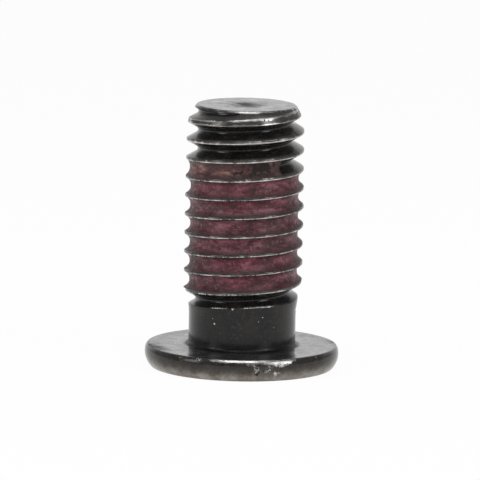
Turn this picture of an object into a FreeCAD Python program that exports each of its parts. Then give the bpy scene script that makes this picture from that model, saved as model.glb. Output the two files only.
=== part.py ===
import FreeCAD, Part
import math
import os

V = FreeCAD.Vector

# Sizes in millimetres. +Z runs up the axis to the tip, and z = 0 is the underside of the head.

# Upset flange head
flange_d = 12.86
bearing_face_d = 12.64
underside_d = 12.0
flange_thickness = 1.46
rim_belly_depth = 0.5
rim_shoulder_d = 12.6
rim_shoulder_height = 0.4

# Plain shank and the land between it and the thread, measured up from the bearing face
shank_d = 7.08
shank_length = 2.15
shank_flare = 0.27
land_d = 7.28
land_length = 0.3
land_rise = 0.85

# Rolled thread, metric coarse
reach = 16.0
pitch = 1.25
crest_d = 7.85
run_in_length = 1.6
first_crest_d = 7.64
first_crest_rise = 0.35
taper_length = 5.2
tip_crest_d = 7.72
tip_lead_length = 0.95
tip_shoulder_d = 7.08
tip_chamfer_length = 0.35
tip_face_d = 6.52
groove_full_height = 3.065
groove_azimuth = 180.0
runout_turns = 0.5
runout_overrun = 1.2

# Shallow mark in the middle of the tip
dimple_d = 1.7
dimple_depth = 0.15

# Six-lobe drive recess in the head
recess_outer_d = 5.6
recess_inner_d = 3.99
recess_lobe_r = 0.46
recess_depth = 2.4
recess_mouth_d = 5.9
recess_mouth_angle = 120.0

# Dried locking compound in the grooves, measured up from the bearing face
patch_low = 3.94
patch_high = 12.25
patch_fill_d = 7.08
patch_clearance = 0.01

# Thread form worked out from the pitch
flank_slope = math.tan(math.radians(30.0))
sharp_height = pitch / (2.0 * flank_slope)
crest_r = crest_d / 2.0
root_r = crest_r - sharp_height * 17.0 / 24.0
apex_r = root_r - sharp_height / 6.0
cut_r = crest_r + sharp_height / 12.0
bearing_z = flange_thickness
tip_z = bearing_z + reach


def blank():
    """The upset and turned body before the thread is rolled."""
    shank_r = shank_d / 2.0
    land_base_z = bearing_z + shank_length + land_rise
    land_top_z = land_base_z + land_length
    lead_z = tip_z - tip_chamfer_length - tip_lead_length
    turned = [
        (0.0, 0.0),
        (underside_d / 2.0, 0.0),
        (rim_shoulder_d / 2.0, rim_shoulder_height),
        (flange_d / 2.0, bearing_z - rim_belly_depth),
        (bearing_face_d / 2.0, bearing_z),
        (shank_r + shank_flare, bearing_z),
        (shank_r, bearing_z + shank_flare),
        (shank_r, bearing_z + shank_length),
        (land_d / 2.0, land_base_z),
        (land_d / 2.0, land_top_z),
        (first_crest_d / 2.0, land_top_z + first_crest_rise),
        (crest_r, land_top_z + run_in_length),
        (crest_r, tip_z - taper_length),
        (tip_crest_d / 2.0, lead_z),
        (tip_shoulder_d / 2.0, tip_z - tip_chamfer_length),
        (tip_face_d / 2.0, tip_z),
        (0.0, tip_z),
    ]
    outline = Part.makePolygon([V(radius, 0, height) for radius, height in turned + turned[:1]])
    return Part.Face(outline).revolve(V(0, 0, 0), V(0, 0, 1), 360)


def groove_section(inner_r, outer_r, clearance=0.0):
    """Trapezium between the 60 degree flanks, from one radius to another, held off the flanks."""
    shrink = clearance / math.cos(math.radians(30.0))
    inner_half = (inner_r - apex_r) * flank_slope - shrink
    outer_half = (outer_r - apex_r) * flank_slope - shrink
    corners = [V(outer_r, 0, outer_half), V(inner_r, 0, inner_half),
               V(inner_r, 0, -inner_half), V(outer_r, 0, -outer_half)]
    return Part.makePolygon(corners + corners[:1])


def sweep_upright(spine, section):
    """Sweep along a helix with the section kept in the plane of the axis."""
    sweep = Part.BRepOffsetAPI.MakePipeShell(Part.Wire(spine.Edges))
    sweep.setBiNormalMode(V(0, 0, 1))
    sweep.add(section, False, False)
    sweep.build()
    sweep.makeSolid()
    return sweep.shape()


def set_on_thread(solid, height):
    """Turn and lift a solid that starts at azimuth 0 so that it starts on the groove at a height."""
    turned = groove_azimuth + (height - groove_full_height) / pitch * 360.0
    solid.rotate(V(0, 0, 0), V(0, 0, 1), turned)
    solid.translate(V(0, 0, bearing_z + height))
    return solid


def thread_grooves():
    """The groove at full depth, one cutter for each turn from above the land to past the tip."""
    spine = Part.makeHelix(pitch, pitch, root_r)
    turn = set_on_thread(sweep_upright(spine, groove_section(root_r, cut_r)), groove_full_height)
    turns = math.ceil((reach - groove_full_height) / pitch) + 1
    return [turn.translated(V(0, 0, k * pitch)) for k in range(turns)]


def groove_runout():
    """The lower end of the groove, which climbs out of the land on a cone."""
    climb_rate = (land_d / 2.0 - root_r) / (runout_turns * pitch)
    cone_angle = math.atan(climb_rate)
    rise = runout_turns * runout_overrun * pitch
    spine = Part.makeHelix(pitch / math.cos(cone_angle), rise / math.cos(cone_angle), root_r,
                           math.degrees(cone_angle))
    runout = sweep_upright(spine, groove_section(root_r, cut_r))
    runout.rotate(V(0, 0, 0), V(1, 0, 0), 180)
    return set_on_thread(runout, groove_full_height)


def six_lobe_outline(outer_d, inner_d, lobe_r):
    """Closed wire of six round lobes joined by six larger arcs, each tangent to the next."""
    lobe_centre = outer_d / 2.0 - lobe_r
    waist = inner_d / 2.0
    waist_r = ((lobe_centre ** 2 + waist ** 2 - math.sqrt(3.0) * lobe_centre * waist - lobe_r ** 2)
               / (2.0 * lobe_r + math.sqrt(3.0) * lobe_centre - 2.0 * waist))
    waist_centre = waist + waist_r

    def at(radius, degrees):
        return V(radius * math.cos(math.radians(degrees)), radius * math.sin(math.radians(degrees)), 0)

    def touch(lobe_degrees, waist_degrees):
        start = at(lobe_centre, lobe_degrees)
        towards = at(waist_centre, waist_degrees).sub(start)
        return start + towards.normalize() * lobe_r

    edges = []
    for k in range(6):
        lobe = 60.0 * k
        before = touch(lobe, lobe - 30.0)
        after = touch(lobe, lobe + 30.0)
        next_lobe = touch(lobe + 60.0, lobe + 30.0)
        edges.append(Part.Arc(before, at(outer_d / 2.0, lobe), after).toShape())
        edges.append(Part.Arc(after, at(waist, lobe + 30.0), next_lobe).toShape())
    return Part.Wire(edges)


def drive_recess():
    """Six-lobe socket with a bevelled mouth, open at the underside of the head."""
    outline = six_lobe_outline(recess_outer_d, recess_inner_d, recess_lobe_r)
    socket = Part.Face(outline).extrude(V(0, 0, recess_depth))
    mouth_depth = (recess_mouth_d - recess_inner_d) / 2.0 / math.tan(math.radians(recess_mouth_angle / 2.0))
    mouth = Part.makeCone(recess_mouth_d / 2.0, recess_inner_d / 2.0, mouth_depth)
    return socket.fuse(mouth)


def tip_dimple():
    """Shallow coned mark in the tip face."""
    return Part.makeCone(0.0, dimple_d / 2.0, dimple_depth, V(0, 0, tip_z - dimple_depth))


def bolt():
    """One forged and rolled piece: flange head, shank, thread, recess and tip."""
    return blank().cut([drive_recess(), tip_dimple()] + thread_grooves() + [groove_runout()])


def threadlock_patch():
    """Ribbon of dried compound that partly fills the grooves in the middle of the thread."""
    spine = Part.makeHelix(pitch, patch_high - patch_low, root_r)
    section = groove_section(root_r + patch_clearance, patch_fill_d / 2.0, patch_clearance)
    return set_on_thread(sweep_upright(spine, section), patch_low)


os.makedirs("parts", exist_ok=True)
for name, make in (("bolt", bolt), ("threadlock_patch", threadlock_patch)):
    shape = make()
    solid = shape.Solids[0]
    solid.exportStep("parts/" + name + ".step")
    print(name, "valid", shape.isValid(), "solids", len(shape.Solids), "volume", round(shape.Volume, 2))
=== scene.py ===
import math

import bmesh
import bpy
from mathutils import Euler, Matrix, Vector, noise


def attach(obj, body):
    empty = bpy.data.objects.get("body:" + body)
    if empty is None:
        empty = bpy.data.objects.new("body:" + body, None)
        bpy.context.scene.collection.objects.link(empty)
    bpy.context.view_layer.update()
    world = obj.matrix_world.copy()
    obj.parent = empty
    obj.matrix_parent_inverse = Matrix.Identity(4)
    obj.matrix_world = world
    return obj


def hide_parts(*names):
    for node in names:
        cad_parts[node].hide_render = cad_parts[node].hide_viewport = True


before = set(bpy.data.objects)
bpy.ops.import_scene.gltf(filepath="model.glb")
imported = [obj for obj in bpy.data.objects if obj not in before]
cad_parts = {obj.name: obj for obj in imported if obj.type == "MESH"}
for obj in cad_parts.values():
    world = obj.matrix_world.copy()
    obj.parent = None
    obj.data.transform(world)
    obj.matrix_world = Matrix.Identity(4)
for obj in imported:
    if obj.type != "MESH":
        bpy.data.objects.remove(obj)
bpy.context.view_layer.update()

# Lengths are in millimetres until a piece is finished. Heights are measured up from the
# bearing face of the head, and the underside of the head is at -HEAD_THICK. Azimuths run
# anticlockwise from +X, and the photograph looks from 270 degrees.
MM = 0.001
PITCH = 1.25
HEAD_THICK = 1.46
REACH = 16.0
FLANK = math.tan(math.radians(30.0))
CREST_R = 3.925
ROOT_R = 3.14
ROOT_ROUND = 0.18
CREST_ROUND = 0.065
SHANK_R = 3.54
LAND_R = 3.64
THREAD_STEPS = 224

# Distance from the groove's middle at which its round root meets the flanks
FOOT_Z = ROOT_ROUND * math.cos(math.radians(30.0))

# Heights between which the wound thread is kept, and its middle: the head is below, the tip above
THREAD_FOOT = 2.2
THREAD_MIDDLE = 10.0
TIP_CUT = 15.80

# Points nearer than this become one
MERGE = 0.0004

# Height of the groove's middle at azimuth 0, and where its lower end climbs out of the land
GROOVE_START = 2.44
RUNOUT_TOP = 3.065
RUNOUT_SLOPE = 0.60
RUNOUT_CLIMB = 0.50

# Radius of the thread blank against height
BLANK = (
    (1.0, SHANK_R), (2.1, SHANK_R), (2.35, 3.555), (2.6, 3.58), (2.8, 3.61), (3.0, LAND_R),
    (3.3, 3.65), (3.45, 3.73), (3.65, 3.82), (4.2, 3.88), (4.9, 3.925), (10.8, 3.925),
    (11.6, 3.89), (14.3, 3.882), (14.8, 3.84), (15.1, 3.765), (15.35, 3.67), (15.6, 3.56),
    (15.8, 3.445), (15.9, 3.365), (16.0, 3.26), (18.5, 3.26),
)

# Rows of points from the groove's middle to the crest's: round root, flank, rounded edge, crest
ARC_ROWS = 3
FLANK_ROWS = 4
ROUND_ROWS = 2
CREST_ROWS = 2
EDGE_ROW = ARC_ROWS + FLANK_ROWS
HALF_ROWS = EDGE_ROW + ROUND_ROWS + CREST_ROWS


def clamped(value):
    """A value kept from 0 to 1."""
    return min(1.0, max(0.0, value))


def near(value, middle, half):
    """1 at a middle value, falling to 0 at half a width from it."""
    return max(0.0, 1.0 - abs(value - middle) / half)


def near_spot(degrees, height, spot):
    """1 in the middle of an oval spot (azimuth, half width, height, half height), 0 outside it."""
    at, half_turn, level, half_height = spot
    return max(0.0, 1.0 - math.hypot((degrees - at) / half_turn, (height - level) / half_height))


def degrees_of(azimuth):
    """An azimuth as degrees from 0 to 360."""
    return math.degrees(azimuth) % 360.0


def on_round(radius, azimuth, height):
    """The point at a radius, an azimuth in radians and a height."""
    return Vector((radius * math.cos(azimuth), radius * math.sin(azimuth), height))


def everything(bm):
    """All the vertices, edges and faces, for the operators that take geometry."""
    return bm.verts[:] + bm.edges[:] + bm.faces[:]


def between(stops, value):
    """A value read off a list of stops, straight from one to the next."""
    for (low, first), (high, second) in zip(stops, stops[1:]):
        if value <= high:
            return first + (second - first) * max(0.0, value - low) / (high - low)
    return stops[-1][1]


def groove_lift(middle):
    """How far the groove has climbed outwards at its lower end."""
    return min(RUNOUT_CLIMB, RUNOUT_SLOPE * max(0.0, RUNOUT_TOP - middle))


def form_point(row, outer, lift):
    """Radius and distance from the groove's middle, for a row between the root and the crest."""
    arc_centre = ROOT_R + ROOT_ROUND + lift
    foot_r = arc_centre - ROOT_ROUND * 0.5
    rise = max(0.0, outer - foot_r)
    corner_z = FOOT_Z + max(rise * FLANK, 0.04)
    soft = min(CREST_ROUND * FLANK, rise * 0.4)
    if row <= ARC_ROWS:
        turn = math.radians(60.0) * row / ARC_ROWS
        return min(outer, arc_centre - ROOT_ROUND * math.cos(turn)), ROOT_ROUND * math.sin(turn)
    row -= ARC_ROWS
    along = math.hypot(rise, corner_z - FOOT_Z)
    if row <= FLANK_ROWS:
        part = (row / FLANK_ROWS) * (1.0 - soft / along)
        return min(outer, foot_r + rise * part), FOOT_Z + (corner_z - FOOT_Z) * part
    row -= FLANK_ROWS
    if row < ROUND_ROWS:
        return outer - soft * 0.16, corner_z + soft * 0.08
    row -= ROUND_ROWS
    start = corner_z + soft
    return outer, start + (PITCH * 0.5 - start) * row / CREST_ROWS


def crest_scuff(azimuth, height):
    """Small unevenness of the rolled crests."""
    wave, nick_depth, nick_level = 0.010, 0.10, 0.42
    spot = Vector((math.cos(azimuth) * 3.9, math.sin(azimuth) * 3.9, height))
    slow = noise.noise(spot * 0.9) * wave
    fine = noise.noise(spot * 3.7 + Vector((7.0, 1.0, 3.0))) * wave
    nick = max(0.0, noise.noise(spot * 2.3 + Vector((2.0, 9.0, 4.0))) - nick_level) * nick_depth
    return slow + fine - nick


# The groove's lower lip above the shank: its heights, the stretches (azimuth, half width) where bare
# metal is painted in as the lamps' highlights, the wear of the rows round its edge, and where and how
# far it dips
LIP_LOW = 2.9
LIP_HIGH = 3.75
LIP_HIGHLIGHT_STRETCHES = ((287.0, 26.0), (244.0, 16.0))
LIP_ROW_WEAR = (0.5, 0.9, 0.9, 0.4)
DIP_LOW = 3.3
DIP_STRETCH = (325.0, 42.0)
DIP_DEPTH = 0.10


def lip_painted_highlight(row, azimuth, middle):
    """Bare metal on the groove's lower lip above the shank: painted highlights in two stretches at the
    front.
    """
    place = abs(row) - EDGE_ROW
    if row > 0 or place < -1 or place > 2 or not LIP_LOW < middle < LIP_HIGH:
        return 0.0
    # Painted highlight: the lip is bared only where the lamps' highlights fall on it
    front = max(near(degrees_of(azimuth), *stretch) for stretch in LIP_HIGHLIGHT_STRETCHES)
    return LIP_ROW_WEAR[round(place) + 1] * clamped(1.8 * front)


# Wear of the rows from a crest's edge to its middle, and what a blunt crest adds to each. A crest
# gets blunt near the tip, from BLUNT_R down to BLUNT_LOSS less.
LOW_EDGE_WEAR = ((0.7, -0.4), (1.0, -0.4), (1.0, -0.2), (0.72, -0.4), (0.5, -0.3))
TOP_EDGE_WEAR = ((0.15, 0.0), (0.45, 0.5), (0.6, 0.4), (0.45, -0.2), (0.5, -0.3))
BLUNT_R = 3.80
BLUNT_LOSS = 0.12

# Share of that wear against height, up to SHINE_TOP, and the two stretches (azimuth, half width)
# down the bolt where more bare metal is painted in as the right and left lamps' highlights
CREST_SHINE = ((2.0, 0.56), (4.0, 0.57), (9.0, 0.66), (12.5, 0.74), (14.2, 0.88))
SHINE_TOP = 14.7
PAINTED_HIGHLIGHT_RIGHT = (293.0, 17.0)
PAINTED_HIGHLIGHT_LEFT = (242.0, 14.0)

# Heights where the duller crest of the run-out ends and where the tip's rubbed band and the
# tip's own wear start, the tip's duller stretch, and the chip in it
RUNOUT_CREST = 3.6
TIP_BAND = 14.95
TIP_CREST = 15.0
TIP_DULL = (243.0, 24.0)
TIP_CHIP = (295.0, 12.0, 15.47, 0.26)


def crest_wear(row, azimuth, height, outer, full_crest):
    """Bare metal along the crests: mostly at their edges, most at the lower one."""
    place = abs(row) - EDGE_ROW
    blunt = clamped((BLUNT_R - outer) / BLUNT_LOSS) if height > THREAD_MIDDLE else 0.0
    if place < 0:
        wear = 0.25 if place > -1.5 and row > 0 else 0.0
    else:
        wear, more = (LOW_EDGE_WEAR if row > 0 else TOP_EDGE_WEAR)[round(place)]
        wear += more * blunt
    if height < RUNOUT_CREST:
        wear *= 0.80
    degrees = degrees_of(azimuth)
    if height < SHINE_TOP:
        # Painted highlights: more bare metal on the crests where the right and left lamps' highlights fall
        painted_highlight = max(near(degrees, *PAINTED_HIGHLIGHT_RIGHT), 0.35 * near(degrees, *PAINTED_HIGHLIGHT_LEFT))
        highlight_boost = 0.30 if row > 0 and 0.5 < place < 2.5 else 0.05
        wear *= between(CREST_SHINE, height) + highlight_boost * clamped(1.5 * painted_highlight)
    if height > TIP_CREST:
        wear *= 1.0 - 0.6 * near(degrees, *TIP_DULL)
        if row > 0 and round(place) == 1:
            wear = 0.9
    return wear * (0.4 + 0.6 * full_crest) + 0.36 * near_spot(degrees, height, TIP_CHIP)


def wind(bm, chain, edges, turn, rise, steps, copies):
    """Spin a section up part of a helix, and repeat that part end to end."""
    bmesh.ops.spin(
        bm, geom=chain + edges, cent=(0, 0, 0), axis=(0, 0, 1), dvec=(0, 0, rise / steps),
        angle=turn, steps=steps, use_merge=False, use_normal_flip=False, use_duplicate=False)
    part = everything(bm)
    for _ in range(copies - 1):
        part = bmesh.ops.duplicate(bm, geom=part)["geom"]
        verts = [g for g in part if isinstance(g, bmesh.types.BMVert)]
        bmesh.ops.rotate(bm, verts=verts, cent=(0, 0, 0), matrix=Matrix.Rotation(turn, 3, "Z"))
        bmesh.ops.translate(bm, verts=verts, vec=(0, 0, rise))


def add_layers(bm, *names):
    """New number layers on the vertices."""
    for name in names:
        bm.verts.layers.float.new(name)


def layers_of(bm, *names):
    """The number layers that have those names."""
    return [bm.verts.layers.float[name] for name in names]


def wound_thread(bm):
    """One pitch of the thread form, wound up the bolt."""
    add_layers(bm, "row", "wear", "rub", "dull")
    row_layer = bm.verts.layers.float["row"]
    start = GROOVE_START - 2.0 * PITCH
    chain = []
    for row in range(-HALF_ROWS, HALF_ROWS + 1):
        radius, away = form_point(abs(row), CREST_R, 0.0)
        vert = bm.verts.new((radius, 0.0, start + math.copysign(away, row)))
        vert[row_layer] = row
        chain.append(vert)
    edges = [bm.edges.new(pair) for pair in zip(chain, chain[1:])]
    turns = math.ceil((REACH - start) / PITCH) + 1
    wind(bm, chain, edges, math.tau, PITCH, THREAD_STEPS, turns)


def shape_thread(bm):
    """Set the wound thread to the measured outline, with numbers for its material."""
    row_layer, wear_layer, rub_layer, dull_layer = layers_of(bm, "row", "wear", "rub", "dull")
    for vert in bm.verts:
        row = vert[row_layer]
        side = math.copysign(1.0, row)
        middle = vert.co.z - side * form_point(abs(row), CREST_R, 0.0)[1]
        azimuth = math.atan2(vert.co.y, vert.co.x)
        lift = groove_lift(middle)
        height = vert.co.z
        for _ in range(3):
            outer = between(BLANK, height)
            radius, away = form_point(abs(row), outer, lift)
            height = middle + side * away
        if row < 0 and DIP_LOW < middle < LIP_HIGH:
            height -= DIP_DEPTH * near(degrees_of(azimuth), *DIP_STRETCH) * abs(row) / HALF_ROWS
        full_crest = clamped((height - LIP_LOW) / 0.8)
        up_flank = max(0.0, (abs(row) - ARC_ROWS) / (HALF_ROWS - ARC_ROWS))
        radius += crest_scuff(azimuth, height) * full_crest * min(1.0, up_flank * 1.6)
        vert.co = on_round(radius, azimuth, height)
        worn = crest_wear(row, azimuth, height, outer, full_crest)
        vert[wear_layer] = max(worn, lip_painted_highlight(row, azimuth, middle))
        tip_band = clamped((height - TIP_BAND) / 0.35) * min(1.0, up_flank * 2.0)
        on_crest = clamped(abs(row) - EDGE_ROW + 1.0)
        vert[rub_layer] = max(0.30 * tip_band, 0.24 * on_crest * full_crest)
        vert[dull_layer] = 0.5 * tip_band
    bmesh.ops.remove_doubles(bm, verts=bm.verts, dist=MERGE)


def open_loop(bm, height):
    """The edges of the open end of the thread nearest to a height."""
    return [e for e in bm.edges if e.is_boundary
            and all(abs(v.co.z - height) < 0.002 for v in e.verts)]


# Stretches (azimuth, half width) of the rim and the tip that are worn most, partly real wear and
# partly painted highlight along their front edges, the rim's two bright spots of bare metal that are
# painted highlights of the right and left lamps, and the stretches of the bearing face that are
# stained with oil
RIM_FRONT = (277.0, 30.0)
TIP_FRONT = (276.0, 34.0)
RIM_HIGHLIGHT_SPOT = (295.0, 9.0, -0.24, 0.34)
RIM_LEFT_HIGHLIGHT_SPOT = (241.0, 7.0, -0.12, 0.2)
STAIN_LEFT = (198.0, 24.0)
STAIN_RIGHT = (8.0, 14.0)

# Where the bearing face, the rim and the underside begin
FACE_FROM_R = 3.9
RIM_FROM_R = 5.9
RUBBED_FROM_R = 6.05
UNDER_FROM = -1.4


def head_wear(azimuth, radius, height, wear):
    """Wear of the tip and of the rim, most at the front, partly as painted highlight, with the rim's two
    painted highlight spots.
    """
    degrees = degrees_of(azimuth)
    if height > THREAD_MIDDLE:
        # Tip wear most at the front: partly real wear, partly a painted highlight along the front edge
        return wear * (0.50 + 0.50 * clamped(1.5 * near(degrees, *TIP_FRONT)))
    if radius < RIM_FROM_R or height < UNDER_FROM:
        return wear
    # Painted highlights: two spots of bare metal on the rim where the right and left lamps' highlights
    # fall
    bare = 0.68 * clamped(2.2 * near_spot(degrees, height, RIM_HIGHLIGHT_SPOT))
    bare += 0.5 * clamped(2.0 * near_spot(degrees, height, RIM_LEFT_HIGHLIGHT_SPOT))
    least = 0.26 if height > -0.15 else 0.40
    # Rim wear most at the front: partly real wear, partly a painted highlight and reflection at the front
    front = clamped(1.8 * near(degrees, *RIM_FRONT))
    return max(wear * (least + (1.10 - least) * front), bare)


def head_rub(radius, height):
    """The rim lighter and more metallic towards its bottom, and dull polish on the underside and the
    bearing face.
    """
    if radius > RUBBED_FROM_R:
        return 0.10 + 0.85 * clamped((-0.50 - height) / 0.70) ** 1.5
    if height < UNDER_FROM:
        return 0.6
    return 0.56 if radius > FACE_FROM_R else 0.0


def oiled(azimuth, radius, height):
    """Dull oil on the bearing face, in the fillet at the shank's foot and round the tip's mark."""
    if height > REACH - 0.2:
        around = Vector((math.cos(azimuth) * 2.0, math.sin(azimuth) * 2.0, 1.0))
        return min(0.8, 1.35 * near(radius, 0.0, 1.75 + 0.7 * noise.noise(around)))
    if height < -0.1 or radius > 6.25:
        return 0.0
    if radius < FACE_FROM_R:
        return near(height, 0.05, 0.7) * min(1.0, max(0.3, (3.84 - radius) / 0.14))
    degrees = degrees_of(azimuth)
    left = near(degrees, *STAIN_LEFT) * clamped((radius - 5.2) / 0.5)
    right = 0.6 * near(degrees, *STAIN_RIGHT) * clamped((radius - 5.7) / 0.4)
    return min(1.0, 1.4 * max(left, right))


def next_ring(bm, loop, radius, height, wear, rub=0.0):
    """Extrude an open ring and set the new ring at a radius and height.

    A radius that changes round the ring is a function of the azimuth and the radius so far,
    and gives the new radius and what is added to the height.
    """
    wear_layer, rub_layer, dull_layer = layers_of(bm, "wear", "rub", "dull")
    grown = bmesh.ops.extrude_edge_only(bm, edges=loop)["geom"]
    fresh = {g for g in grown if isinstance(g, bmesh.types.BMVert)}
    for vert in fresh:
        azimuth = math.atan2(vert.co.y, vert.co.x)
        out, up = radius(azimuth, vert.co.xy.length) if callable(radius) else (radius, 0.0)
        vert.co = on_round(out, azimuth, height + up)
        vert[wear_layer] = head_wear(azimuth, out, vert.co.z, wear)
        vert[rub_layer] = rub
        vert[dull_layer] = oiled(azimuth, out, vert.co.z)
    return [g for g in grown if isinstance(g, bmesh.types.BMEdge) and g.is_boundary
            and g.verts[0] in fresh and g.verts[1] in fresh]


# Heights of rings up the shank, and the fillet at its foot
SHANK_HEIGHTS = (2.0, 1.8, 1.6, 1.25, 0.95, 0.65, 0.42, 0.27)
FILLET = 0.27
FILLET_STEPS = 6

# Radius and depth of rings of the bearing face; radius, height and wear of the others
BEARING_FACE = (
    (3.95, 0.0), (4.3, 0.012), (4.7, 0.03), (5.1, 0.035), (5.5, 0.028), (5.8, 0.012), (6.0, 0.002),
)
WORN_BEVEL = (
    (6.19, 0.0, 0.1), (6.235, -0.006, 0.4), (6.265, -0.02, 0.9), (6.285, -0.038, 1.25),
    (6.322, -0.09, 1.3), (6.358, -0.142, 1.2),
)
UNDERSIDE = (
    (6.01, -1.45, 0.35), (5.98, -1.458, 0.3), (5.94, -HEAD_THICK, 0.2), (5.3, -HEAD_THICK, 0.1),
    (4.7, -HEAD_THICK, 0.1), (4.0, -HEAD_THICK, 0.1), (3.3, -HEAD_THICK, 0.1),
    (3.0, -HEAD_THICK, 0.3), (2.96, -HEAD_THICK + 0.006, 0.6), (2.93, -HEAD_THICK + 0.02, 0.5),
)

# The bulge of the rim: its radius and middle, its rounding above and below that, its steps, and
# the wear of its first rings
RIM_R = 6.42
RIM_MIDDLE = -0.50
RIM_UPPER_ROUND = 1.18
RIM_LOWER_ROUND = 1.34
RIM_STEPS = 13
RIM_WEAR = (0.65, 0.42, 0.34)


def rim_outline():
    """Radius, height and wear down the outside of the head, from the shank to the recess."""
    outline = [(SHANK_R + 0.003, 2.13, 0.0)]
    outline += [(SHANK_R, height, 0.0) for height in SHANK_HEIGHTS]
    for step in range(1, FILLET_STEPS + 1):
        turn = math.radians(90.0) * step / FILLET_STEPS
        outline.append((SHANK_R + FILLET * (1.0 - math.cos(turn)), FILLET * (1.0 - math.sin(turn)), 0.0))
    outline += [(radius, -sink, 0.32) for radius, sink in BEARING_FACE]
    outline += WORN_BEVEL
    for step in range(RIM_STEPS + 1):
        turn = math.radians(16.0 - 61.0 * step / RIM_STEPS)
        bulge = RIM_UPPER_ROUND if turn > 0.0 else RIM_LOWER_ROUND
        wear = RIM_WEAR[step] if step < len(RIM_WEAR) else 0.28
        outline.append((RIM_R - bulge * (1.0 - math.cos(turn)), RIM_MIDDLE + bulge * math.sin(turn), wear))
    outline += UNDERSIDE
    return outline


def lobe_radius(azimuth):
    """Radius of the six-lobe outline at an azimuth."""
    outer, inner, lobe = 2.8, 1.995, 0.46
    centre = outer - lobe
    waist = ((centre ** 2 + inner ** 2 - math.sqrt(3.0) * centre * inner - lobe ** 2)
             / (2.0 * lobe + math.sqrt(3.0) * centre - 2.0 * inner))
    off = abs((azimuth + math.radians(30.0)) % math.radians(60.0) - math.radians(30.0))
    touch = Vector((inner + waist, 0.0))
    touch.rotate(Matrix.Rotation(math.radians(30.0), 2))
    reach = (touch - Vector((centre, 0.0))).normalized() * lobe + Vector((centre, 0.0))
    if off <= math.atan2(reach.y, reach.x):
        return centre * math.cos(off) + math.sqrt(lobe ** 2 - (centre * math.sin(off)) ** 2)
    away = math.radians(30.0) - off
    far = inner + waist
    return far * math.cos(away) - math.sqrt(max(0.0, waist ** 2 - (far * math.sin(away)) ** 2))


# Drive recess: its depth, and the cone that bevels its mouth
RECESS_DEPTH = 2.4
MOUTH_R = 2.95
MOUTH_SLOPE = math.tan(math.radians(60.0))


def add_head(bm, loop):
    """Land, shank, flange and drive recess, drawn ring by ring from the foot of the thread."""
    def mouth(out, up):
        def ring(azimuth, _):
            edge = lobe_radius(azimuth) + out
            return edge, (MOUTH_R - edge) / MOUTH_SLOPE + up
        return ring

    def wall(inset):
        return lambda azimuth, _: (lobe_radius(azimuth) - inset, 0.0)

    for radius, height, wear in rim_outline():
        loop = next_ring(bm, loop, radius, height, wear, head_rub(radius, height))
    loop = next_ring(bm, loop, mouth(0.02, -0.012), -HEAD_THICK, 0.7)
    loop = next_ring(bm, loop, mouth(0.0, 0.03), -HEAD_THICK, 0.4)
    end = RECESS_DEPTH - HEAD_THICK
    for height in (-0.65, -0.3, 0.1, 0.5, end - 0.05):
        loop = next_ring(bm, loop, wall(0.0), height, 0.0)
    for radius, height in ((wall(0.05), end), (1.5, end), (0.8, end + 0.12), (0.25, end + 0.22)):
        loop = next_ring(bm, loop, radius, height, 0.0)
    bmesh.ops.contextual_create(bm, geom=loop)


# Rings of the tip's edge: how far each goes in, its depth below the end, its wear and its rub
TIP_EDGE = (
    (0.025, 0.15, 0.1, 0.2), (0.045, 0.085, 1.0, 0.5), (0.04, 0.035, 1.15, 0.8),
    (0.04, 0.01, 0.9, 0.9), (0.04, 0.0, 0.6, 1.0), (0.04, 0.0, 0.5, 1.0),
)

# Rings of the tip's face (share of the radius so far, depth) and centre mark (radius, depth). The
# rings of the mark within MARK_FROM_R are dark.
TIP_FACE = ((0.94, 0.0), (0.92, 0.002), (0.9, 0.004), (0.88, 0.006))
TIP_MARK = (
    (1.75, 0.008), (1.4, 0.012), (1.15, 0.022), (0.95, 0.036), (0.78, 0.065), (0.6, 0.10),
    (0.42, 0.128), (0.25, 0.142), (0.1, 0.148),
)
MARK_FROM_R = 1.2


def add_tip(bm, loop):
    """Rounded edge, flat face and shallow centre mark of the tip."""
    def shrink(by):
        return lambda azimuth, now: (now - by, 0.0)

    def inwards(part):
        return lambda azimuth, now: (now * part, 0.0)

    def ragged(radius):
        def ring(azimuth, _):
            around = Vector((math.cos(azimuth), math.sin(azimuth), radius))
            return radius * (1.0 + 0.16 * noise.noise(around)), 0.0
        return ring

    for by, sink, wear, rub in TIP_EDGE:
        loop = next_ring(bm, loop, shrink(by), REACH - sink, wear, rub)
    for part, sink in TIP_FACE:
        loop = next_ring(bm, loop, inwards(part), REACH - sink, 0.5, 1.0)
    for radius, sink in TIP_MARK:
        wear, rub = (0.5, 1.0) if radius > MARK_FROM_R else (0.0, 0.3)
        loop = next_ring(bm, loop, ragged(radius), REACH - sink, wear, rub)
    bmesh.ops.contextual_create(bm, geom=loop)


def finish_piece(bm, name, material, node, sharp):
    """Turn a bmesh in millimetres into a piece that stands for a node of the frame.

    Edges that turn by more than the angle sharp, in radians, stay crisp.
    """
    bmesh.ops.translate(bm, verts=bm.verts, vec=(0, 0, HEAD_THICK))
    bmesh.ops.scale(bm, verts=bm.verts, vec=(MM, MM, MM))
    bmesh.ops.recalc_face_normals(bm, faces=bm.faces)
    for face in bm.faces:
        face.smooth = True
    for edge in bm.edges:
        if len(edge.link_faces) == 2 and edge.calc_face_angle(0.0) > sharp:
            edge.smooth = False
    mesh = bpy.data.meshes.new(name)
    bm.to_mesh(mesh)
    bm.free()
    piece = bpy.data.objects.new(name, mesh)
    bpy.context.scene.collection.objects.link(piece)
    mesh.materials.append(material)
    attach(piece, "root")
    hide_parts(node)


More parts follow.
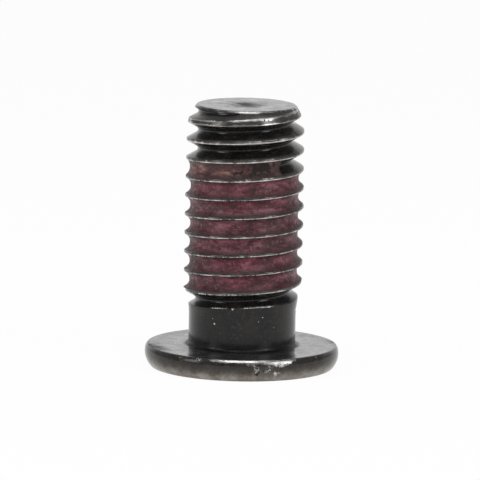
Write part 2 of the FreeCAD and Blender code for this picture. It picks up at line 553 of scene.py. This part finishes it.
def make_bolt(material):
    """The whole steel bolt as one closed skin."""
    bm = bmesh.new()
    wound_thread(bm)
    shape_thread(bm)
    for level, foot in ((THREAD_FOOT, True), (TIP_CUT, False)):
        bmesh.ops.bisect_plane(bm, geom=everything(bm), dist=0.0001, plane_co=(0, 0, level),
                               plane_no=(0, 0, 1), clear_inner=foot, clear_outer=not foot)
    add_head(bm, open_loop(bm, THREAD_FOOT))
    add_tip(bm, open_loop(bm, TIP_CUT))
    finish_piece(bm, "bolt_steel", material, "bolt", math.radians(50.0))


# Ribbon of dried compound, measured as the groove is. Its face starts to widen at
# RIBBON_FOOT_Z from the groove's middle, and its back lies inside the steel.
RIBBON_LOW = 3.94
RIBBON_HIGH = 12.283
RIBBON_FOOT_Z = ROOT_ROUND * 0.866
RIBBON_STEPS = 300
RIBBON_FACE_ROWS = 16
RIBBON_MIDDLE_R = 3.55
RIBBON_EDGE_R = 3.84
RIBBON_BACK = ((3.55, 0.40), (3.2, 0.18), (3.06, 0.0), (3.2, -0.18), (3.55, -0.40))


def ribbon_across(row):
    """Place of a row across the ribbon's face, from -1 to 1."""
    return 2.0 * row / RIBBON_FACE_ROWS - 1.0


def ribbon_face(across, middle_r, edge_r):
    """Radius and distance from the groove's middle, across the hollow face of the ribbon."""
    width = RIBBON_FOOT_Z + (edge_r - ROOT_R - ROOT_ROUND * 0.5) * FLANK
    return middle_r + (edge_r - middle_r) * abs(across) ** 2.6, width * across


def ribbon_section():
    """Radius and distance from the groove's middle of every row, of the face and then the back."""
    face = [ribbon_face(ribbon_across(row), RIBBON_MIDDLE_R, RIBBON_EDGE_R)
            for row in range(RIBBON_FACE_ROWS + 1)]
    return face + list(RIBBON_BACK)


def steel_radius(away):
    """Radius of the bare groove at a distance from its middle."""
    away = abs(away)
    if away < FOOT_Z:
        return ROOT_R + ROOT_ROUND - math.sqrt(ROOT_ROUND ** 2 - away ** 2)
    return ROOT_R + ROOT_ROUND * 0.5 + (away - FOOT_Z) / FLANK


# Share of the film that is lost, against the degrees left to its upper and to its lower end
TOP_LOSS = (
    (0.0, 1.0), (4.0, 0.80), (8.0, 0.34), (15.0, 0.38), (22.0, 0.63), (30.0, 0.61),
    (40.0, 0.42), (50.0, 0.34), (64.0, 0.20), (84.0, 0.0),
)
FOOT_LOSS = ((0.0, 1.0), (6.0, 0.85), (16.0, 0.60), (30.0, 0.35), (60.0, 0.0))


def torn(radius, away, grain, middle):
    """Radius of the film where it thins out towards its ends, and the share that is lost there."""
    turn = 360.0 / PITCH
    loss = max(between(TOP_LOSS, (RIBBON_HIGH - middle) * turn),
               between(FOOT_LOSS, (middle - RIBBON_LOW) * turn))
    if loss <= 0.0:
        return radius, 0.0
    bed = steel_radius(away)
    lump = 0.05 * loss * noise.noise(grain * 4.3 + Vector((8.0, 8.0, 8.0)))
    sunk = max(0.0, (loss - 0.72) / 0.28)
    film = max(0.0, radius - bed) * (1.0 - 0.25 * loss) + lump
    return bed + film * (1.0 - sunk) - 0.05 * sunk, loss


def wound_ribbon(bm, section):
    """The ribbon's section, wound up the groove from its lower end to its upper one."""
    add_layers(bm, "row", "across", "ending", "thin")
    row_layer = bm.verts.layers.float["row"]
    chain = []
    for row, (radius, away) in enumerate(section):
        vert = bm.verts.new((radius, 0.0, away))
        vert[row_layer] = row
        chain.append(vert)
    edges = [bm.edges.new(pair) for pair in zip(chain, chain[1:] + chain[:1])]
    first = math.tau * (RIBBON_LOW - GROOVE_START) / PITCH
    bmesh.ops.rotate(bm, verts=bm.verts, cent=(0, 0, 0), matrix=Matrix.Rotation(first, 3, "Z"))
    bmesh.ops.translate(bm, verts=bm.verts, vec=(0, 0, RIBBON_LOW))
    rise = RIBBON_HIGH - RIBBON_LOW
    turns = rise / PITCH
    copies = math.ceil(turns)
    wind(bm, chain, edges, math.tau * turns / copies, rise / copies, RIBBON_STEPS, copies)
    bmesh.ops.remove_doubles(bm, verts=bm.verts, dist=MERGE)


def shape_ribbon(bm, section):
    """Make the ribbon's face uneven and torn at its ends, with numbers for its material."""
    row_layer, across_layer, ending_layer, thin_layer = layers_of(bm, "row", "across", "ending", "thin")
    for vert in bm.verts:
        row = round(vert[row_layer])
        azimuth = math.atan2(vert.co.y, vert.co.x)
        middle = vert.co.z - section[row][1]
        top_turn = clamped((middle - RIBBON_HIGH + PITCH * 0.75) / 0.6)
        vert[ending_layer] = top_turn
        if row > RIBBON_FACE_ROWS:
            continue
        across = ribbon_across(row)
        spot = Vector((math.cos(azimuth) * 3.7, math.sin(azimuth) * 3.7, middle))
        drift = noise.noise(spot * 0.8) * 0.035 + noise.noise(spot * 2.4) * 0.018
        edge_drift = noise.noise(spot * 1.3 + Vector((4.0, 4.0, across * 2.0))) * 0.06
        middle_r = RIBBON_MIDDLE_R + drift + 0.10 * top_turn
        edge_r = RIBBON_EDGE_R + edge_drift + (0.05 if across < 0.0 else -0.05)
        radius, away = ribbon_face(across, middle_r, edge_r)
        grain = Vector((spot.x, spot.y, middle + away))
        radius += noise.noise(grain * 7.0) * 0.008 + noise.noise(grain * 3.5) * 0.012
        radius, vert[thin_layer] = torn(radius, away, grain, middle)
        to_end = min(middle - RIBBON_LOW, RIBBON_HIGH - middle)
        radius -= 0.3 * max(0.0, 1.0 - to_end / 0.02) ** 2
        vert.co = on_round(radius, azimuth, middle + away)
        vert[across_layer] = across


def make_ribbon(material):
    """Compound wound in the groove: a hollow face, and a back that lies inside the steel."""
    bm = bmesh.new()
    section = ribbon_section()
    wound_ribbon(bm, section)
    shape_ribbon(bm, section)
    for end in (RIBBON_LOW, RIBBON_HIGH):
        loop = [e for e in bm.edges if e.is_boundary and all(abs(v.co.z - end) < 0.6 for v in e.verts)]
        bmesh.ops.contextual_create(bm, geom=loop)
    finish_piece(bm, "compound_ribbon", material, "threadlock_patch",
                 math.radians(60.0))


def nodes_of(name):
    """A new material, its node tree, and the shader in it."""
    material = bpy.data.materials.new(name)
    material.use_nodes = True
    tree = material.node_tree
    shader = tree.nodes["Principled BSDF"]
    return material, tree, shader


def link(tree, source, target):
    """Join an output to an input."""
    tree.links.new(source, target)


def noise_at(tree, place, scale, detail, rough, offset=(0.0, 0.0, 0.0), squeeze=(1.0, 1.0, 1.0)):
    """Noise on the piece's own coordinates, with grains of about 1/scale metres."""
    texture = tree.nodes.new("ShaderNodeTexNoise")
    texture.inputs["Scale"].default_value = scale
    texture.inputs["Detail"].default_value = detail
    texture.inputs["Roughness"].default_value = rough
    shift = tree.nodes.new("ShaderNodeMapping")
    shift.inputs["Location"].default_value = offset
    shift.inputs["Scale"].default_value = squeeze
    link(tree, place, shift.inputs["Vector"])
    link(tree, shift.outputs["Vector"], texture.inputs["Vector"])
    return texture.outputs["Fac"]


def ramp(tree, value, stops):
    """Colours or greys against a value, in pairs of a place and a shade."""
    node = tree.nodes.new("ShaderNodeValToRGB")
    elements = node.color_ramp.elements
    while len(elements) > 1:
        elements.remove(elements[-1])
    elements[0].position, elements[0].color = stops[0][0], colour(stops[0][1])
    for place, shade in stops[1:]:
        elements.new(place).color = colour(shade)
    link(tree, value, node.inputs["Fac"])
    return node.outputs["Color"]


def colour(shade):
    """A grey or a colour with full alpha."""
    if isinstance(shade, (int, float)):
        return (shade, shade, shade, 1.0)
    return (*shade, 1.0)


def mixed(tree, factor, first, second):
    """One colour over another."""
    node = tree.nodes.new("ShaderNodeMix")
    node.data_type = "RGBA"
    link(tree, factor, node.inputs["Factor"])
    for value, socket in ((first, node.inputs["A"]), (second, node.inputs["B"])):
        if isinstance(value, (tuple, float)):
            socket.default_value = colour(value)
        else:
            link(tree, value, socket)
    return node.outputs["Result"]


def maths(tree, kind, *values, clamp=False):
    """The result of one operation on numbers and outputs."""
    node = tree.nodes.new("ShaderNodeMath")
    node.operation = kind
    node.use_clamp = clamp
    for value, socket in zip(values, node.inputs):
        if isinstance(value, (int, float)):
            socket.default_value = value
        else:
            link(tree, value, socket)
    return node.outputs[0]


def swing(tree, value, by):
    """How far a noise lies from its middle, made larger or smaller."""
    return maths(tree, "MULTIPLY", maths(tree, "SUBTRACT", value, 0.5), by)


def attribute(tree, name):
    """A number that was written on the vertices."""
    node = tree.nodes.new("ShaderNodeAttribute")
    node.attribute_name = name
    return node.outputs["Fac"]


def bump(tree, shader, value, depth):
    """Relief of a depth in metres."""
    node = tree.nodes.new("ShaderNodeBump")
    node.inputs["Strength"].default_value = 1.0
    node.inputs["Distance"].default_value = depth
    link(tree, value, node.inputs["Height"])
    link(tree, node.outputs["Normal"], shader.inputs["Normal"])


# Marks on the steel: azimuth in degrees, radius, height above the bearing face, and half width
BRIGHT_NICKS = (
    (260.2, 3.66, 2.94, 0.085), (238.9, 3.54, 1.83, 0.045), (236.9, 3.54, 2.18, 0.030),
    (287.9, 3.54, 2.08, 0.030), (292.4, 3.54, 2.33, 0.035), (286.0, 6.35, -0.30, 0.05),
    (306.0, 3.54, 1.60, 0.025), (270.0, 3.54, 2.30, 0.025), (246.0, 3.54, 2.42, 0.028),
)
DARK_NICKS = (
    (279.2, 6.36, -0.92, 0.11), (280.6, 6.39, -0.80, 0.07), (283.2, 6.40, -0.72, 0.06),
    (286.5, 6.40, -0.76, 0.05), (289.5, 6.36, -0.95, 0.04), (258.6, 6.40, -0.36, 0.05),
    (289.8, 3.62, 15.46, 0.07), (294.5, 3.62, 15.43, 0.06),
)
RESIDUE = (
    (191.0, 3.72, 0.04, 0.16), (198.0, 3.80, 0.0, 0.10), (205.0, 3.86, 0.0, 0.06),
    (352.0, 3.76, 0.02, 0.14), (345.0, 3.84, 0.0, 0.07), (358.0, 3.66, 0.12, 0.09),
)


def warped(tree, place, by):
    """The piece's own coordinates, shaken by up to a length so that marks get ragged outlines."""
    texture = tree.nodes.new("ShaderNodeTexNoise")
    texture.inputs["Scale"].default_value = 7000.0
    texture.inputs["Detail"].default_value = 2.0
    link(tree, place, texture.inputs["Vector"])
    shake = tree.nodes.new("ShaderNodeVectorMath")
    shake.operation = "MULTIPLY_ADD"
    link(tree, texture.outputs["Color"], shake.inputs[0])
    shake.inputs[1].default_value = (by, by, by)
    link(tree, place, shake.inputs[2])
    return shake.outputs["Vector"]


def marks_at(tree, frayed, by, marks):
    """1 on each of a list of small marks, 0 elsewhere, on coordinates shaken by a length."""
    masks = []
    for azimuth, radius, height, half in marks:
        spot = on_round(radius, math.radians(azimuth), height + HEAD_THICK) * MM
        away = tree.nodes.new("ShaderNodeVectorMath")
        away.operation = "DISTANCE"
        link(tree, frayed, away.inputs[0])
        away.inputs[1].default_value = spot + Vector((by, by, by)) * 0.5
        mask = tree.nodes.new("ShaderNodeMapRange")
        mask.inputs["From Min"].default_value = half * 1.25 * MM
        mask.inputs["From Max"].default_value = half * 0.75 * MM
        link(tree, away.outputs["Value"], mask.inputs["Value"])
        masks.append(mask.outputs["Result"])
    found = masks[0]
    for mask in masks[1:]:
        found = maths(tree, "MAXIMUM", found, mask)
    return found


# Heights in metres times these run from 0 to 1: up the head and the shank, and up the whole bolt
FOOT_SCALE = 300.0
WHOLE_SCALE = 57.0

# How far the outlines of the marks are shaken, in metres
FRAY = 0.00016


def height_of(tree, place, scale):
    """Height on the piece's own coordinates, times a scale."""
    parts = tree.nodes.new("ShaderNodeSeparateXYZ")
    link(tree, place, parts.inputs["Vector"])
    return maths(tree, "MULTIPLY", parts.outputs["Z"], scale)


def polish(tree, place, mottle):
    """Colour of the rubbed oxide, warmer on the rim's lower half and along the thread."""
    warm = ramp(tree, mottle, ((0.36, (0.20, 0.17, 0.14)), (0.52, (0.25, 0.225, 0.195)),
                               (0.66, (0.32, 0.31, 0.295))))
    plain = ramp(tree, mottle, ((0.36, (0.25, 0.245, 0.25)), (0.52, (0.37, 0.365, 0.37)),
                                (0.66, (0.49, 0.485, 0.49))))
    rim = ramp(tree, height_of(tree, place, FOOT_SCALE), ((0.396, 1.0), (0.426, 0.0)))
    thread = ramp(tree, height_of(tree, place, WHOLE_SCALE),
                  ((0.20, 0.0), (0.23, 0.6), (0.96, 0.6), (0.985, 0.0)))
    return mixed(tree, maths(tree, "MAXIMUM", rim, thread), plain, warm)


def blackened_steel():
    """Oiled black oxide, mottled, rubbed through to bare steel on crests and edges."""
    material, tree, shader = nodes_of("blackened_steel")
    place = tree.nodes.new("ShaderNodeTexCoord").outputs["Object"]
    cloud = noise_at(tree, place, 900.0, 4.0, 0.6)
    speck = noise_at(tree, place, 5200.0, 3.0, 0.6, (0.3, 0.1, 0.2))
    scuff = noise_at(tree, place, 2300.0, 4.0, 0.65, (0.7, 0.4, 0.1))
    mottle = noise_at(tree, place, 1100.0, 6.0, 0.72, (0.4, 0.9, 0.6))
    fine = noise_at(tree, place, 9000.0, 2.0, 0.6, (0.5, 0.5, 0.8))

    # Oxide, dusty in specks, with painted shade darkening it towards the foot of the shank, and polished
    # where it was rubbed
    oxide = ramp(tree, cloud, ((0.35, (0.0045, 0.0045, 0.005)), (0.55, (0.009, 0.008, 0.0075)),
                               (0.75, (0.022, 0.018, 0.015))))
    dusty = ramp(tree, speck, ((0.55, 0.0), (0.76, 0.42)))
    oxide = mixed(tree, dusty, oxide, (0.075, 0.065, 0.058))
    # Painted shade: darker, bluer oxide at the foot of the shank, fading out about a millimetre up
    shank_foot_shade = ramp(tree, height_of(tree, place, FOOT_SCALE),
                 ((0.43, 0.0), (0.45, 0.85), (0.56, 0.75), (0.74, 0.0)))
    oxide = mixed(tree, shank_foot_shade, oxide, (0.0018, 0.0020, 0.0034))
    patchy = ramp(tree, mottle, ((0.36, 0.70), (0.62, 1.0)))
    rub = maths(tree, "MULTIPLY", attribute(tree, "rub"), patchy)
    oxide = mixed(tree, rub, oxide, polish(tree, place, mottle))
    metal = ramp(tree, rub, ((0.0, 0.0), (0.32, 0.86), (1.0, 1.0)))

    # Bare steel where the wear and the noises together are high, and on the nicks
    grain = maths(tree, "ADD", swing(tree, scuff, 0.5), swing(tree, fine, 0.7))
    rubbed = maths(tree, "ADD", attribute(tree, "wear"), swing(tree, cloud, 1.3))
    rubbed = ramp(tree, maths(tree, "ADD", rubbed, grain), ((0.52, 0.0), (0.74, 1.0)))
    frayed = warped(tree, place, FRAY)
    rubbed = maths(tree, "MAXIMUM", rubbed, marks_at(tree, frayed, FRAY, BRIGHT_NICKS))
    clean = maths(tree, "SUBTRACT", 1.0, marks_at(tree, frayed, FRAY, DARK_NICKS))
    rubbed = maths(tree, "MULTIPLY", rubbed, clean)
    oxide = mixed(tree, clean, (0.004, 0.004, 0.004), oxide)
    oxide = mixed(tree, marks_at(tree, frayed, FRAY, RESIDUE), oxide, (0.055, 0.020, 0.017))
    bare = ramp(tree, scuff, ((0.35, (0.34, 0.33, 0.32)), (0.65, (0.66, 0.64, 0.62))))
    link(tree, mixed(tree, rubbed, oxide, bare), shader.inputs["Base Color"])
    metal = maths(tree, "MULTIPLY", maths(tree, "MAXIMUM", rubbed, metal), clean)
    link(tree, metal, shader.inputs["Metallic"])
    shader.inputs["IOR"].default_value = 1.36

    # Glossy oxide, satin where it was rubbed, dull where it is stained, softer on the bare steel
    gloss = ramp(tree, scuff, ((0.3, 0.09), (0.7, 0.22)))
    satin = maths(tree, "MULTIPLY_ADD", rub, 0.16, gloss)
    uneven = ramp(tree, mottle, ((0.38, 1.0), (0.62, 0.25)))
    stain = maths(tree, "MULTIPLY", attribute(tree, "dull"), uneven)
    satin = mixed(tree, stain, satin, 0.60)
    satin = mixed(tree, maths(tree, "MULTIPLY", rubbed, 0.6), satin, 0.42)
    link(tree, satin, shader.inputs["Roughness"])
    relief = maths(tree, "ADD", maths(tree, "MULTIPLY", speck, 0.5), scuff)
    bump(tree, shader, relief, 0.000004)
    return material


def dried_compound():
    """Matt mauve film, blotched, thin and dark towards the lower ridge, with small bubbles."""
    material, tree, shader = nodes_of("dried_compound")
    place = tree.nodes.new("ShaderNodeTexCoord").outputs["Object"]
    streaks = (0.5, 0.5, 1.3)
    cloud = noise_at(tree, place, 1500.0, 5.0, 0.7, (0.2, 0.5, 0.1), streaks)
    broad = noise_at(tree, place, 420.0, 2.0, 0.5, (0.6, 0.1, 0.4), streaks)
    speck = noise_at(tree, place, 5200.0, 3.0, 0.65)
    bubbles = noise_at(tree, place, 2400.0, 2.0, 0.5, (0.3, 0.7, 0.2))
    flake = noise_at(tree, place, 2800.0, 3.0, 0.6, (0.9, 0.2, 0.3))

    # Crimson and brown blotches, with dark and pale specks and pits
    crimson = ramp(tree, cloud, ((0.35, (0.030, 0.003, 0.006)), (0.50, (0.085, 0.010, 0.018)),
                                 (0.65, (0.225, 0.064, 0.091))))
    brown = ramp(tree, cloud, ((0.35, (0.028, 0.005, 0.007)), (0.50, (0.071, 0.015, 0.020)),
                               (0.65, (0.198, 0.083, 0.098))))
    tint = mixed(tree, ramp(tree, broad, ((0.42, 0.0), (0.60, 1.0))), crimson, brown)
    dark = ramp(tree, speck, ((0.57, 0.0), (0.68, 0.85)))
    tint = mixed(tree, dark, tint, (0.020, 0.005, 0.007))
    pale = ramp(tree, speck, ((0.30, 0.55), (0.42, 0.0)))
    tint = mixed(tree, pale, tint, (0.22, 0.145, 0.148))
    pits = ramp(tree, bubbles, ((0.655, 0.0), (0.70, 0.9)))
    tint = mixed(tree, pits, tint, (0.024, 0.004, 0.007))

    # Crumbs on its last turn, and flakes lost where it is thin
    crumbly = ramp(tree, speck, ((0.4, 0.9), (0.6, 0.3)))
    crumbs = ramp(tree, cloud, ((0.38, (0.020, 0.007, 0.006)), (0.52, (0.070, 0.030, 0.023)),
                                (0.64, (0.25, 0.150, 0.112))))
    tint = mixed(tree, maths(tree, "MULTIPLY", attribute(tree, "ending"), crumbly), tint, crumbs)
    thin = attribute(tree, "thin")
    lost = ramp(tree, maths(tree, "ADD", thin, swing(tree, flake, 2.2)), ((0.47, 0.0), (0.60, 1.0)))
    tint = mixed(tree, maths(tree, "MULTIPLY", thin, 0.7), tint, (0.012, 0.006, 0.005))
    tint = mixed(tree, lost, tint, (0.009, 0.004, 0.003))

    # Greyer towards its lower edge
    down = maths(tree, "MULTIPLY", attribute(tree, "across"), -1.0)
    low = ramp(tree, maths(tree, "ADD", down, swing(tree, cloud, 1.3)), ((0.45, 0.0), (1.0, 0.85)))
    tint = mixed(tree, low, tint, (0.050, 0.028, 0.029))
    link(tree, tint, shader.inputs["Base Color"])

    matt = ramp(tree, speck, ((0.35, 0.40), (0.65, 0.62)))
    link(tree, mixed(tree, lost, matt, 0.75), shader.inputs["Roughness"])
    shader.inputs["Specular IOR Level"].default_value = 0.44
    relief = maths(tree, "ADD", maths(tree, "MULTIPLY", speck, 0.6), cloud)
    kept = maths(tree, "SUBTRACT", 1.0, lost, clamp=True)
    relief = maths(tree, "MULTIPLY", relief, maths(tree, "MAXIMUM", kept, 0.3))
    bump(tree, shader, relief, 0.00006)
    return material


def surroundings():
    """White all round for the camera, and a grey room with a dim camera side for the rest."""
    world = bpy.data.worlds.new("studio_surroundings")
    bpy.context.scene.world = world
    world.use_nodes = True
    tree = world.node_tree
    background = tree.nodes["Background"]
    rays = tree.nodes.new("ShaderNodeLightPath")
    ways = tree.nodes.new("ShaderNodeSeparateXYZ")
    link(tree, tree.nodes.new("ShaderNodeTexCoord").outputs["Generated"], ways.inputs["Vector"])
    behind = ramp(tree, maths(tree, "MULTIPLY_ADD", ways.outputs["Y"], 0.5, 0.5),
                  ((0.30, 0.10), (0.78, 0.30), (0.91, 1.0)))
    upwards = ramp(tree, ways.outputs["Z"], ((0.36, 1.0), (0.56, 0.40)))
    behind = maths(tree, "MULTIPLY", behind, upwards)
    overhead = ramp(tree, ways.outputs["Z"], ((0.1, 0.70), (0.9, 0.35)))
    plain = mixed(tree, rays.outputs["Is Glossy Ray"], overhead, behind)
    seen = mixed(tree, rays.outputs["Is Camera Ray"], plain, 1.0)
    seen = mixed(tree, rays.outputs["Is Transmission Ray"], seen, 1.0)
    link(tree, seen, background.inputs["Color"])
    background.inputs["Strength"].default_value = 1.0


def paper_floor():
    """White paper, which looks white to the camera and in reflections."""
    bpy.ops.mesh.primitive_plane_add(size=1.2, location=(0, 0, -0.00001))
    floor = bpy.context.object
    floor.name = "floor"
    floor.data.name = "floor"
    paper, sheet, shader = nodes_of("white_paper")
    shader.inputs["Base Color"].default_value = (0.9, 0.9, 0.9, 1.0)
    shader.inputs["Roughness"].default_value = 0.9
    glow = sheet.nodes.new("ShaderNodeEmission")
    glow.inputs["Color"].default_value = (1.0, 1.0, 1.0, 1.0)
    blend = sheet.nodes.new("ShaderNodeMixShader")
    eye = sheet.nodes.new("ShaderNodeLightPath")
    seen = maths(sheet, "MAXIMUM", eye.outputs["Is Camera Ray"], eye.outputs["Is Glossy Ray"])
    link(sheet, maths(sheet, "MULTIPLY", seen, 0.95), blend.inputs["Fac"])
    link(sheet, shader.outputs["BSDF"], blend.inputs[1])
    link(sheet, glow.outputs["Emission"], blend.inputs[2])
    link(sheet, blend.outputs["Shader"], sheet.nodes["Material Output"].inputs["Surface"])
    floor.data.materials.append(paper)


# Softboxes: azimuth and elevation in degrees, distance, width and height in metres, and watts
SOFTBOXES = {
    "right_softbox": (-38.0, 24.0, 0.20, 0.06, 0.12, 0.125),
    "left_softbox": (-152.0, 22.0, 0.20, 0.06, 0.12, 0.11),
    "front_softbox": (-90.0, 60.0, 0.20, 0.12, 0.06, 0.10),
    "top_softbox": (90.0, 84.0, 0.20, 0.10, 0.10, 0.04),
}
LIT_POINT = Vector((0, 0, 0.009))


def softboxes():
    """Four soft lights that face the middle of the bolt."""
    for name, (azimuth, elevation, distance, width, height, power) in SOFTBOXES.items():
        lamp = bpy.data.lights.new(name, "AREA")
        lamp.shape = "RECTANGLE"
        lamp.size = width
        lamp.size_y = height
        lamp.energy = power
        holder = bpy.data.objects.new(name, lamp)
        bpy.context.scene.collection.objects.link(holder)
        aim = Euler((0.0, -math.radians(elevation), math.radians(azimuth)))
        towards = aim.to_matrix() @ Vector((1, 0, 0))
        holder.location = LIT_POINT + towards * distance
        holder.rotation_euler = towards.to_track_quat("Z", "Y").to_euler()


# The photograph: its width, its scale in pixels to the millimetre, and where the middle of the
# bearing face lies in it
PICTURE = 480.0
PICTURE_SCALE = 15.09
FACE_ACROSS = 241.7
FACE_DOWN = 343.6


def camera():
    """The photograph's viewpoint: 10 degrees up, far away, rolled a little."""
    distance = 480.0
    rise = math.radians(10.11)
    roll = math.radians(1.05)
    focal = PICTURE_SCALE * distance
    lens = bpy.data.cameras.new("camera")
    lens.sensor_width = 36.0
    lens.lens = focal / PICTURE * lens.sensor_width
    lens.clip_start = 0.01
    lens.clip_end = 10.0
    eye = bpy.data.objects.new("camera", lens)
    bpy.context.scene.collection.objects.link(eye)
    back = Vector((0, -math.cos(rise), math.sin(rise)))
    down = math.atan((FACE_DOWN - PICTURE / 2.0) / focal)
    side = math.atan((FACE_ACROSS - PICTURE / 2.0) / focal)
    turn = back.to_track_quat("Z", "Y").to_matrix()
    for angle, axis in ((roll, "Z"), (down, "X"), (side, "Y")):
        turn = turn @ Matrix.Rotation(angle, 3, axis)
    face = Vector((0, 0, HEAD_THICK))
    eye.matrix_world = Matrix.Translation((face + back * distance) * MM) @ turn.to_4x4()
    bpy.context.scene.camera = eye


make_bolt(blackened_steel())
make_ribbon(dried_compound())
surroundings()
paper_floor()
softboxes()
camera()
bpy.context.scene.view_settings.view_transform = "Standard"
